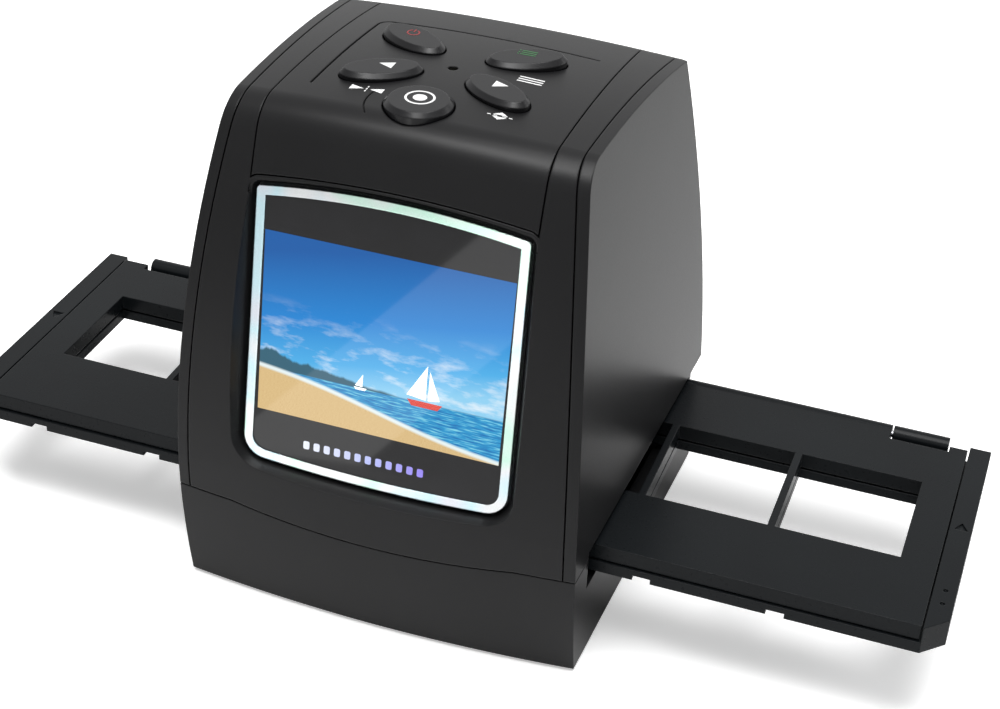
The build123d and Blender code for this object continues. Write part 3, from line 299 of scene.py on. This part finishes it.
SLOT_MATERIALS = {
    # ABS from a spark-eroded mould: deep satin black, with a broad and dim shine
    "black_plastic": moulded(
        "casing_abs", "101011", "141415", 0.36, 0.385, 0.012, edge=0.4, level=0.17),
    # ABS from a smoother mould: slightly blue, nearly black from the front
    "tray_plastic": moulded("tray_abs", "0d0f11", "121517", 0.28, 1.11, 0.001, level=0.11),
    # ABS from a polished mould: semi-gloss, with a clear small highlight
    "key_plastic": moulded(
        "key_abs", "111112", "151517", 0.24, 0.556, 0.002, edge=0.35, level=0.2),
    # plated plastic and printed acrylic round the screen
    "silver_plating": silver_plating(),
    "screen_lens": black_acrylic(),
    # moulded rubber of the feet: no shine
    "rubber": moulded("foot_rubber", "0b0b0b", "131313", 0.75, 0.4, 0.03),
    # zinc-plated steel of screws and pins: bright, cool grey
    "steel": metal("zinc_steel", "9a9ba0", "c6c8cc", 0.3),
    # rolled spring steel: brighter, with lines along X
    "spring_steel": metal("spring_steel", "a9abae", "cfd1d4", 0.22, (0.05, 1, 1)),
    "circuit_board": circuit_board(),
    # black mouldings inside: dull and even
    "component_black": moulded("inner_abs", "0d0d0e", "141415", 0.5, 0.667, 0.02),
    # stamped tin-plated sheet of the sockets: bright, with lines along Y
    "socket_metal": metal("tin_sheet", "b5b6b8", "d6d7d8", 0.25, (1, 0.1, 1)),
    # polyester film of the flat cables: cream, satin
    "ribbon_white": moulded("cable_film", "c9c6b6", "dedbcd", 0.4, 0.833, 0.01),
    # moulded nylon of the cable sockets: off-white, satin
    "socket_white": moulded("white_nylon", "d8d6cd", "e6e4dc", 0.45, 0.667, 0.01),
    # rolled aluminium of the display's frame: soft grey, with lines along X
    "display_metal": metal("display_frame", "9c9ea1", "bcbec0", 0.35, (0.05, 1, 1)),
    # cast resin of the lamps: pale yellow, glossy
    "led_white": moulded("led_resin", "e6e2b8", "f3f0d2", 0.2, 0.667, 0.005),
    # opal acrylic of the diffuser and the light box: clean white, smooth
    "diffuser_white": opal_acrylic,
    "light_box_white": opal_acrylic,
    # black anodised aluminium, turned: dark metal with fine rings round the lens
    "optics_black": anodised,
    "sensor": anodised,
    # coated glass: clear, faintly blue in the lens and cyan in the filter
    "lens_glass": glass("lens_glass", "cfe0f0"),
    "filter_glass": glass("filter_glass", "9fd8cf"),
}

for entry in frame["record"]["subparts"]:
    mesh = NODES[entry["node"]].data
    mesh.materials.clear()
    mesh.materials.append(SLOT_MATERIALS[entry["material_slot"]])


# ------------------------------------------------------------------ flat outlines
def arc_points(radius, start, end, steps):
    """Points on an arc, angles in degrees."""
    angles = [math.radians(start + (end - start) * i / steps) for i in range(steps + 1)]
    return [(radius * math.cos(a), radius * math.sin(a)) for a in angles]


def arc_band(radius, width, start, end, steps=24):
    """Quadrilaterals that make up an arc of a ring."""
    outer = arc_points(radius + width / 2, start, end, steps)
    inner = arc_points(radius - width / 2, start, end, steps)
    return [(inner[i], outer[i], outer[i + 1], inner[i + 1]) for i in range(steps)]


def bar(x0, x1, y0, y1):
    """Rectangle."""
    return [(x0, y0), (x1, y0), (x1, y1), (x0, y1)]


def rounded_bar(x, y, width, height, radius):
    """Rectangle with round corners, about its middle."""
    points = []
    for side_x, side_y, start in ((1, 1, 0), (-1, 1, 90), (-1, -1, 180), (1, -1, 270)):
        corner_x = x + side_x * (width / 2 - radius)
        corner_y = y + side_y * (height / 2 - radius)
        arc = arc_points(radius, start, start + 90, 5)
        points += [(corner_x + px, corner_y + py) for px, py in arc]
    return points


def shifted(loops, dx, dy):
    """The loops moved."""
    return [[(x + dx, y + dy) for x, y in loop] for loop in loops]


# ---------------------------------------------------------------- printed pieces
def print_piece(name, loops, place, material, body, surface=None):
    """Thin printed sign made of polygons in millimetres; on a surface it follows it."""
    mesh = bpy.data.meshes.new(name)
    shape = bmesh.new()
    for loop in loops:
        shape.faces.new([shape.verts.new((x * MM, y * MM, 0)) for x, y in loop])
    raised = bmesh.ops.extrude_face_region(shape, geom=shape.faces[:])
    for item in raised["geom"]:
        if isinstance(item, bmesh.types.BMVert):
            item.co.z += PRINT_T
    bmesh.ops.recalc_face_normals(shape, faces=shape.faces)
    bmesh.ops.transform(shape, matrix=place, verts=shape.verts)
    if surface:
        for vert in shape.verts:
            above = Vector((vert.co.x, vert.co.y, 1.0))
            vert.co.z += surface.ray_cast(above, Vector((0, 0, -1)))[0].z
    shape.to_mesh(mesh)
    shape.free()
    piece = bpy.data.objects.new(name, mesh)
    bpy.context.collection.objects.link(piece)
    mesh.materials.append(material)
    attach(piece, body)


def on_key(node):
    """Place on top of a key: its middle, at the height of its face."""
    low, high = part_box(node)
    return Matrix.Translation(((low[0] + high[0]) / 2, (low[1] + high[1]) / 2, high[2]))


def key_signs(white):
    """Signs on the five keys, each moved from the middle of its key's box."""
    red = ink("red_ink", "7a181b")
    green = ink("green_ink", "1b5a2a")
    power = arc_band(1.15, 0.3, 115, 425) + [bar(-0.15, 0.15, 0.25, 1.5)]
    rows = (-0.8, 0.0, 0.8)
    menu = [bar(-1.5, 1.5, y - 0.17, y + 0.17) for y in rows]
    menu += [bar(-2.1, -1.8, y - 0.17, y + 0.17) for y in rows]
    left = [[(-1.6, 0), (1.2, -1.3), (1.2, 1.3)]]
    right = [[(1.6, 0), (-1.2, 1.3), (-1.2, -1.3)]]
    scan = arc_band(2.6, 0.42, 0, 360, 48) + arc_band(0.65, 1.3, 0, 360, 24)
    for key, loops, dx, dy, material in (
        ("power", power, -0.6, 1.1, red),
        ("menu", menu, 0.0, 1.3, green),
        ("mirror", left, 0.8, 1.0, white),
        ("flip", right, 0.0, 1.4, white),
        ("scan", scan, 0.0, 0.0, white),
    ):
        place = on_key(key + "_button")
        print_piece(key + "_sign", shifted(loops, dx, dy), place, material, key + "_key")


def surface_of(node):
    """Search tree of a CAD node's mesh."""
    mesh = NODES[node].data
    corners = [v.co.copy() for v in mesh.vertices]
    return BVHTree.FromPolygons(corners, [tuple(p.vertices) for p in mesh.polygons])


def cover_signs(white):
    """Small signs on the top cover beside three of the keys."""
    cover = surface_of("top_cover")
    mirror = [[(-3.2, -0.9), (-0.6, 0), (-3.2, 0.9)], [(3.2, -0.9), (3.2, 0.9), (0.6, 0)]]
    mirror += [bar(-0.12, 0.12, y, y + 0.5) for y in (-1.1, -0.25, 0.6)]
    flip = [[(-1.4, 0.35), (1.4, 0.35), (0, 1.4)], [(-1.4, -0.35), (0, -1.4), (1.4, -0.35)]]
    flip += [bar(x, x + 0.7, -0.12, 0.12) for x in (-2.4, -1.2, 0.5, 1.7)]
    menu = [bar(-2.4, 2.4, y - 0.2, y + 0.2) for y in (-1.0, 0.0, 1.0)]
    for name, loops, x, y in (
        ("mirror_mark", mirror, -11.2, -23.3),
        ("flip_mark", flip, 14.6, -23.6),
        ("menu_mark", menu, 14.8, -6.9),
    ):
        place = Matrix.Translation((x * MM, y * MM, 0))
        print_piece(name, loops, place, white, "casing", cover)


# ------------------------------------------------------------------- the display
def screen_place(lift):
    """Turns flat pieces onto the display plane, lifted off the lens."""
    turn = Matrix((Vector((1, 0, 0)), SCREEN_UP, SCREEN_OUT)).transposed().to_4x4()
    return Matrix.Translation(SCREEN_CENTRE + SCREEN_OUT * lift) @ turn


def picture_coordinates(tree, place):
    """Across and up the picture, in millimetres from its middle."""
    parts = add(tree, "ShaderNodeSeparateXYZ", {0: place}).outputs
    from_y = calc(tree, "SUBTRACT", parts["Y"], SCREEN_CENTRE.y)
    from_z = calc(tree, "SUBTRACT", parts["Z"], SCREEN_CENTRE.z)
    up_y = calc(tree, "MULTIPLY", from_y, SCREEN_UP.y / MM)
    up_z = calc(tree, "MULTIPLY", from_z, SCREEN_UP.z / MM)
    return calc(tree, "MULTIPLY", parts["X"], 1 / MM), calc(tree, "ADD", up_y, up_z)


def picture_noise(tree, across, up, wide, tall, detail, roughness=0.5):
    """Noise on the picture whose features are wide by tall millimetres."""
    spot = add(tree, "ShaderNodeCombineXYZ", {
        0: calc(tree, "DIVIDE", across, wide), 1: calc(tree, "DIVIDE", up, tall),
    }).outputs[0]
    return add(tree, "ShaderNodeTexNoise", {
        "Vector": spot, "Scale": 1.0, "Detail": detail, "Roughness": roughness,
    }).outputs["Fac"]


def picture_material():
    """Bay on the display: sky, clouds, hills, water and sand, painted from the top down."""
    material, tree, shader, place = new_material("screen_picture")
    across, up = picture_coordinates(tree, place)

    # the sky pales towards the horizon, a little more on the left
    height = spread(tree, up, -9.0, 18.4)
    lean = calc(tree, "MULTIPLY", across, 0.006)
    colour = ramp(
        tree, calc(tree, "SUBTRACT", height, lean),
        (0.0, "8fd0f2"), (0.18, "49aee8"), (0.5, "1283d2"), (1.0, "075aa6"),
    )
    puffs = picture_noise(tree, across, up, 8.93, 2.976, 6.0, 0.6)
    low_down = spread(tree, up, 6.0, -8.0)
    veil = calc(tree, "MULTIPLY", spread(tree, puffs, 0.50, 0.72), low_down, clamp=True)
    colour = mix(tree, veil, colour, rgb("f4f9fc"))

    # hills up to 7 mm high, falling to the right
    ridge = add(tree, "ShaderNodeTexNoise", {
        "W": calc(tree, "DIVIDE", across, 6.25), "Scale": 1.0, "Detail": 5.0,
    }, noise_dimensions="1D").outputs["Fac"]
    fall = calc(tree, "MULTIPLY", ridge, spread(tree, across, 4.0, -26.0))
    over_crest = calc(tree, "SUBTRACT", up, calc(tree, "MULTIPLY", fall, 7.0))
    colour = mix(tree, under(tree, over_crest, HORIZON), colour, rgb("2c5f74"))

    # water in long low ripples
    ripples = picture_noise(tree, across, up, 3.333, 0.3333, 3.0)
    water = ramp(tree, ripples, (0.35, "0a6fb3"), (0.52, "1f98cf"), (0.66, "7fd2e6"))
    colour = mix(tree, under(tree, up, HORIZON, 0.1), colour, water)

    # foam and sand under a slanting, bent shore
    bend = calc(tree, "SINE", calc(tree, "MULTIPLY", across, 0.11), 0.0)
    shore = calc(tree, "ADD", up, calc(tree, "MULTIPLY", bend, SHORE_BEND))
    shore = calc(tree, "ADD", shore, calc(tree, "MULTIPLY", across, SHORE_SLOPE))
    colour = mix(tree, under(tree, shore, FOAM_LEVEL), colour, rgb("e6f2f2"))
    grains = picture_noise(tree, across, up, 0.3704, 0.03704, 4.0)
    sand = ramp(tree, grains, (0.3, "c9a267"), (0.7, "e9cf98"))
    colour = mix(tree, under(tree, shore, SAND_LEVEL), colour, sand)

    wire(tree, shader, {
        "Emission Color": colour, "Emission Strength": 1.0,
        "Base Color": rgb("050505"), "Roughness": 0.04, "Specular IOR Level": LENS_LEVEL,
    })
    return material


def mark_ink_with_painted_glow():
    """Metallic ink that turns from silver to violet along the row, with a faint painted glow."""
    material, tree, shader, place = new_material("metallic_ink_painted_glow")
    along = spread(tree, picture_coordinates(tree, place)[0], -15.0, 10.5)
    tint = ramp(tree, along, (0.0, "c9ccd6"), (0.5, "9fa6cf"), (1.0, "7f6fd0"))
    # the emission is a painted glow: it makes the marks brighter than the lamps light them
    wire(tree, shader, {
        "Base Color": tint, "Emission Color": tint,
        "Metallic": 0.3, "Roughness": 0.3, "Emission Strength": 0.15,
    })
    return material


def screen_picture():
    """The lit picture, two boats on its water, and a row of marks under it."""
    panel = bar(-PICTURE_W / 2, PICTURE_W / 2, -PICTURE_H / 2, PICTURE_H / 2)
    near_sails = [[(9.2, -8.6), (9.2, -1.6), (5.4, -8.2)], [(9.7, -8.6), (12.0, -8.2), (9.7, -2.6)]]
    near_hull = [[(5.6, -9.0), (12.6, -9.0), (11.7, -10.2), (6.5, -10.2)]]
    far_boat = [
        [(-3.4, -8.9), (-3.4, -6.3), (-4.9, -8.8)],
        [(-5.1, -9.1), (-2.5, -9.1), (-2.9, -9.6), (-4.7, -9.6)],
    ]
    marks = [
        rounded_bar(MARK_FIRST + i * MARK_PITCH, MARK_LEVEL, 1.25, 1.7, 0.35)
        for i in range(MARK_COUNT)
    ]
    for name, loops, lift, material in (
        ("screen_picture", [panel], 0, picture_material()),
        ("boat_sails", near_sails + far_boat, PRINT_T, ink("boat_ink", "f2f2ee", glow=0.7)),
        ("boat_hull", near_hull, PRINT_T, ink("hull_ink", "b5352a", glow=0.6)),
        ("lens_marks", marks, 0, mark_ink_with_painted_glow()),
    ):
        print_piece(name, loops, screen_place(lift), material, "casing")


# -------------------------------------------------------------- floor and lights
def floor():
    """White floor that shows only its shadows to the camera."""
    bpy.ops.mesh.primitive_plane_add(size=12.0, location=(0, 0, 0))
    plane = bpy.context.object
    plane.name = "floor"
    material, tree, shader, place = new_material("white_floor")
    to_camera = add(tree, "ShaderNodeLightPath").outputs["Is Camera Ray"]
    fill = mix(tree, to_camera, (0, 0, 0, 1), (FLOOR_FILL, FLOOR_FILL, FLOOR_FILL, 1))
    wire(tree, shader, {
        "Base Color": ramp(tree, noise(tree, place, 500.0), (0.3, "fbfbfb"), (0.7, "ffffff")),
        "Emission Color": fill, "Emission Strength": 1.0,
        "Roughness": 0.9, "Specular IOR Level": 0.1,
    })
    plane.data.materials.append(material)


def world():
    """White to the camera and in reflections, soft grey to everything that it lights."""
    studio = bpy.data.worlds.new("studio")
    bpy.context.scene.world = studio
    studio.use_nodes = True
    tree = studio.node_tree
    tree.nodes.clear()
    path = add(tree, "ShaderNodeLightPath").outputs
    seen = calc(tree, "ADD", path["Is Camera Ray"], path["Is Glossy Ray"])
    seen = calc(tree, "ADD", seen, path["Is Transmission Ray"], clamp=True)
    colour = mix(tree, seen, rgb(AMBIENT), (1, 1, 1, 1))
    background = add(tree, "ShaderNodeBackground", {"Color": colour, "Strength": 1.0})
    add(tree, "ShaderNodeOutputWorld", {"Surface": background.outputs[0]})


def softbox(name, at, towards, size, power):
    """Rectangular area light."""
    light = bpy.data.lights.new(name, "AREA")
    light.shape = "RECTANGLE"
    light.size, light.size_y = size
    light.energy = power
    lamp = bpy.data.objects.new(name, light)
    bpy.context.collection.objects.link(lamp)
    lamp.location = at
    facing = (Vector(towards) - Vector(at)).to_track_quat("-Z", "Y")
    lamp.rotation_euler = facing.to_euler()
    return lamp


def glare_card():
    """Narrow soft card that the display's lens mirrors as a slanting streak."""
    depth = (CAMERA_AT - SCREEN_CENTRE).dot(SCREEN_OUT)
    mirrored_eye = CAMERA_AT - SCREEN_OUT * (2 * depth)
    seen_at = SCREEN_CENTRE + Vector((GLARE_X, 0, 0)) + SCREEN_UP * GLARE_UP
    away = (seen_at - mirrored_eye).normalized()
    across = away.cross(Vector((1, 0, 0)) + SCREEN_UP * GLARE_SLOPE).normalized()
    along = across.cross(away)
    lamp = softbox("glare_card", (0, 0, 0), (0, 0, -1), GLARE_SIZE, GLARE_POWER)
    axes = Matrix((along, across, away)).transposed().to_4x4()
    lamp.matrix_world = Matrix.Translation(seen_at + away * GLARE_AWAY) @ axes
    lamp.visible_camera = False


def camera():
    """Camera at the photograph's viewpoint."""
    back = Vector((
        math.sin(CAMERA_AZ) * math.cos(CAMERA_EL),
        -math.cos(CAMERA_AZ) * math.cos(CAMERA_EL),
        math.sin(CAMERA_EL),
    ))
    right = Vector((0, 0, 1)).cross(back).normalized()
    up = back.cross(right)
    turned_right = right * math.cos(CAMERA_ROLL) + up * math.sin(CAMERA_ROLL)
    turned_up = up * math.cos(CAMERA_ROLL) - right * math.sin(CAMERA_ROLL)
    lens = bpy.data.cameras.new("camera")
    lens.lens = CAMERA_LENS
    lens.sensor_width = 36.0
    lens.sensor_fit = "HORIZONTAL"
    lens.clip_start = 0.01
    eye = bpy.data.objects.new("camera", lens)
    bpy.context.collection.objects.link(eye)
    axes = Matrix((turned_right, turned_up, back)).transposed().to_4x4()
    eye.matrix_world = Matrix.Translation(CAMERA_AT) @ axes
    bpy.context.scene.camera = eye


white_ink = ink("white_ink", "e4e4e4")
key_signs(white_ink)
cover_signs(white_ink)
screen_picture()
floor()
world()
for lamp_values in LAMPS:
    softbox(*lamp_values)
glare_card()
camera()
bpy.context.scene.view_settings.view_transform = "Standard"
